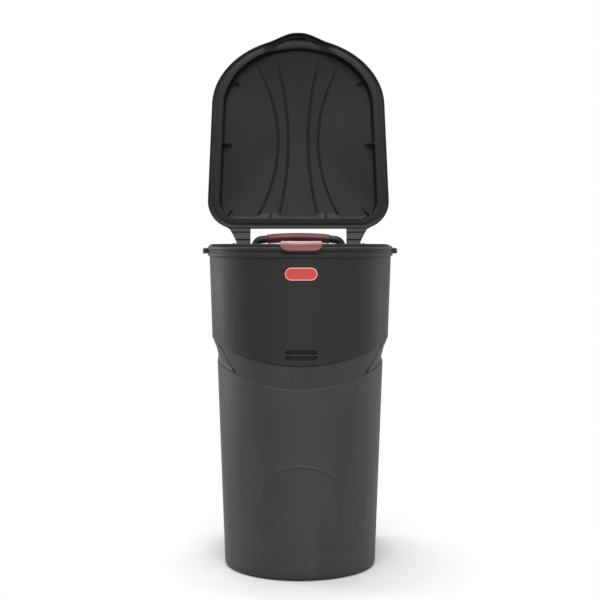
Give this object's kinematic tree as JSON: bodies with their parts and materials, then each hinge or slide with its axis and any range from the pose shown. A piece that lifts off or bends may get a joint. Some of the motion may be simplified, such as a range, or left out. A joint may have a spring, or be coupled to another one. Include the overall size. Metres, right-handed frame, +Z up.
{
  "type": "wheeled trash can",
  "caption": "Tall D-shaped refuse can on two rear wheels, with a domed hinged lid standing open, a gripped bar handle behind and a grip on the front rim.",
  "frame": {"origin": "on the floor, in the flat base of the can, at the middle of its width", "axes": "+Z up, +X to the right as seen from the front, +Y to the rear, where the handle, hinge and wheels are"},
  "size_m": [0.6334, 0.878, 1.7475],
  "materials": {
    "body_plastic": "fine moulded grain",
    "lid_plastic": "fine moulded grain",
    "handle_plastic": "satin",
    "grip_red": "soft satin",
    "plate_red": "satin",
    "wheel_plastic": "satin",
    "tyre_rubber": "matte",
    "zinc_steel": "zinc plated"
  },
  "bodies": {
    "can": {"can_body": "body_plastic", "rear_handle": "handle_plastic", "rear_grip": "grip_red", "front_grip": "grip_red", "badge_plate": "plate_red", "axle": "zinc_steel", "axle_washer_left": "wheel_plastic", "axle_washer_right": "wheel_plastic", "push_nut_left": "zinc_steel", "push_nut_right": "zinc_steel", "hinge_pin_left": "zinc_steel", "hinge_pin_right": "zinc_steel", "pin_clip_left": "zinc_steel", "pin_clip_right": "zinc_steel", "handle_screw_1": "zinc_steel", "handle_screw_2": "zinc_steel", "handle_screw_3": "zinc_steel", "handle_screw_4": "zinc_steel"},
    "lid": {"lid": "lid_plastic"},
    "wheel_left": {"wheel_left": "wheel_plastic", "tyre_left": "tyre_rubber", "hub_cap_left": "wheel_plastic"},
    "wheel_right": {"wheel_right": "wheel_plastic", "tyre_right": "tyre_rubber", "hub_cap_right": "wheel_plastic"}
  },
  "joints": [
    {"name": "lid_hinge", "type": "hinge", "parent": "can", "child": "lid", "pos_m": [0, 0.4, 0.99], "axis": [1, 0, 0], "range_deg": [0, 97]},
    {"name": "wheel_left_spin", "type": "hinge", "parent": "can", "child": "wheel_left", "pos_m": [-0.215, 0.235, 0.1], "axis": [1, 0, 0], "continuous": true},
    {"name": "wheel_right_spin", "type": "hinge", "parent": "can", "child": "wheel_right", "pos_m": [0.215, 0.235, 0.1], "axis": [1, 0, 0], "continuous": true}
  ]
}
